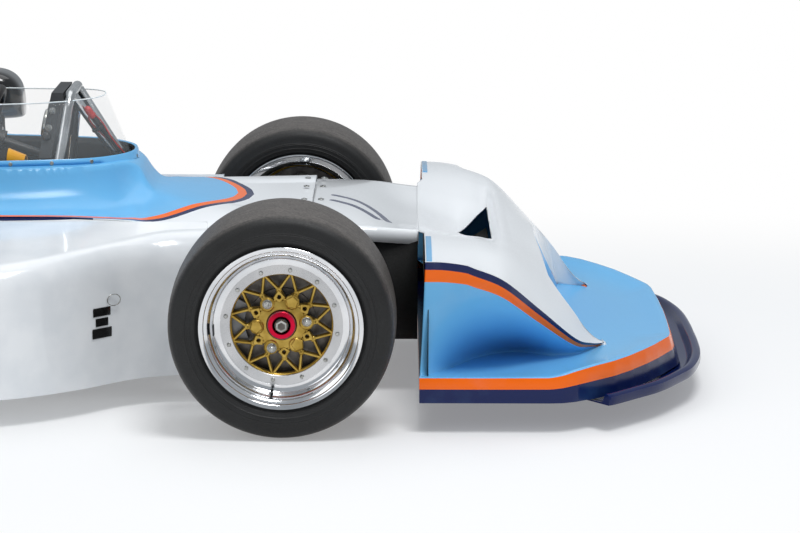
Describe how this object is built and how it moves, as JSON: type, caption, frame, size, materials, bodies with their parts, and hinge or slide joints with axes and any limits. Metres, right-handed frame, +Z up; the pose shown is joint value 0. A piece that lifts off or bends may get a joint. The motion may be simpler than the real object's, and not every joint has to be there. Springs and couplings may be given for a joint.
{
  "type": "open wheel single seater racing car",
  "caption": "Open wheel single seater racing car with a full width nose, side bodies, slick tyres on lattice wheels, an open engine and a rear wing.",
  "frame": {"origin": "on the ground, under the middle of the car's length and width", "axes": "+X forward towards the nose, +Y to the car's left, +Z up"},
  "size_m": [4.2199, 1.7908, 0.949],
  "materials": {
    "white_body_paint": "gloss",
    "light_blue_paint": "gloss",
    "navy_paint": "gloss",
    "bare_aluminium_sheet": "satin",
    "polished_rim_aluminium": "polished",
    "gold_lattice_paint": "satin",
    "slick_rubber": "worn",
    "hub_steel": "satin",
    "cast_magnesium": "matt",
    "caliper_alloy": "satin",
    "plated_steel_tube": "satin",
    "spring_paint": "gloss",
    "clear_sheet": "clear",
    "dark_grey_panel": "matt",
    "black_gloss_plastic": "gloss",
    "black_leather_grip": "matt",
    "seat_moulding": "matt",
    "seat_fabric": "matt",
    "radiator_core": "matt",
    "engine_castings": "cast",
    "exhaust_steel": "heat stained",
    "trumpet_alloy": "polished"
  },
  "bodies": {
    "chassis": {"cockpit_surround": "light_blue_paint", "dash_panel": "dark_grey_panel", "engine": "engine_castings", "engine_cover": "white_body_paint", "exhaust": "exhaust_steel", "front_dampers": "spring_paint", "front_hoop": "plated_steel_tube", "front_wishbones": "plated_steel_tube", "gearbox": "cast_magnesium", "inlet_trumpets": "trumpet_alloy", "jack_bar": "plated_steel_tube", "main_roll_hoop": "plated_steel_tube", "mirrors": "black_gloss_plastic", "monocoque": "bare_aluminium_sheet", "nose": "white_body_paint", "nose_splitter": "navy_paint", "radiators": "radiator_core", "rear_dampers": "spring_paint", "rear_links": "plated_steel_tube", "rear_uprights": "cast_magnesium", "rear_wing": "light_blue_paint", "seat": "seat_moulding", "seat_pad": "seat_fabric", "side_pods": "white_body_paint", "steering_rack": "caliper_alloy", "windscreen": "clear_sheet", "wing_end_plates": "white_body_paint", "wing_pillar": "bare_aluminium_sheet"},
    "knuckle_left": {"front_caliper_left": "caliper_alloy", "front_upright_left": "cast_magnesium"},
    "knuckle_right": {"front_caliper_right": "caliper_alloy", "front_upright_right": "cast_magnesium"},
    "steering_wheel": {"steering_wheel": "black_leather_grip"},
    "rack": {"track_rods": "plated_steel_tube"},
    "wheel_front_left": {"hub_front_left": "hub_steel", "rim_front_left": "polished_rim_aluminium", "tyre_front_left": "slick_rubber", "wheel_centre_front_left": "gold_lattice_paint"},
    "wheel_front_right": {"hub_front_right": "hub_steel", "rim_front_right": "polished_rim_aluminium", "tyre_front_right": "slick_rubber", "wheel_centre_front_right": "gold_lattice_paint"},
    "wheel_rear_left": {"hub_rear_left": "hub_steel", "rim_rear_left": "polished_rim_aluminium", "tyre_rear_left": "slick_rubber", "wheel_centre_rear_left": "gold_lattice_paint"},
    "wheel_rear_right": {"hub_rear_right": "hub_steel", "rim_rear_right": "polished_rim_aluminium", "tyre_rear_right": "slick_rubber", "wheel_centre_rear_right": "gold_lattice_paint"}
  },
  "joints": [
    {"name": "steer_left", "type": "hinge", "parent": "chassis", "child": "knuckle_left", "pos_m": [1.16, 0.67, 0.252], "axis": [0, 0, 1], "range_deg": [-16, 16]},
    {"name": "steer_right", "type": "hinge", "parent": "chassis", "child": "knuckle_right", "pos_m": [1.16, -0.67, 0.252], "axis": [0, 0, 1], "range_deg": [-16.5, 16.5]},
    {"name": "steering_wheel_turn", "type": "hinge", "parent": "chassis", "child": "steering_wheel", "pos_m": [0.42, 0, 0.56], "axis": [-0.944, 0, 0.3298], "range_deg": [-130, 130]},
    {"name": "rack_slide", "type": "slide", "parent": "chassis", "child": "rack", "axis": [0, 1, 0], "range_m": [-0.028, 0.028]},
    {"name": "spin_front_left", "type": "hinge", "parent": "knuckle_left", "child": "wheel_front_left", "pos_m": [1.16, 0.69, 0.252], "axis": [0, 1, 0], "continuous": true},
    {"name": "spin_front_right", "type": "hinge", "parent": "knuckle_right", "child": "wheel_front_right", "pos_m": [1.16, -0.69, 0.252], "axis": [0, 1, 0], "continuous": true},
    {"name": "spin_rear_left", "type": "hinge", "parent": "chassis", "child": "wheel_rear_left", "pos_m": [-1.31, 0.7, 0.29], "axis": [0, 1, 0], "continuous": true},
    {"name": "spin_rear_right", "type": "hinge", "parent": "chassis", "child": "wheel_rear_right", "pos_m": [-1.31, -0.7, 0.29], "axis": [0, 1, 0], "continuous": true}
  ],
  "couplings": [
    {"joint": "steer_right", "follows": "steer_left", "ratio": 1},
    {"joint": "steering_wheel_turn", "follows": "steer_left", "ratio": 8},
    {"joint": "rack_slide", "follows": "steer_left", "m_per_rad": 0.095}
  ]
}
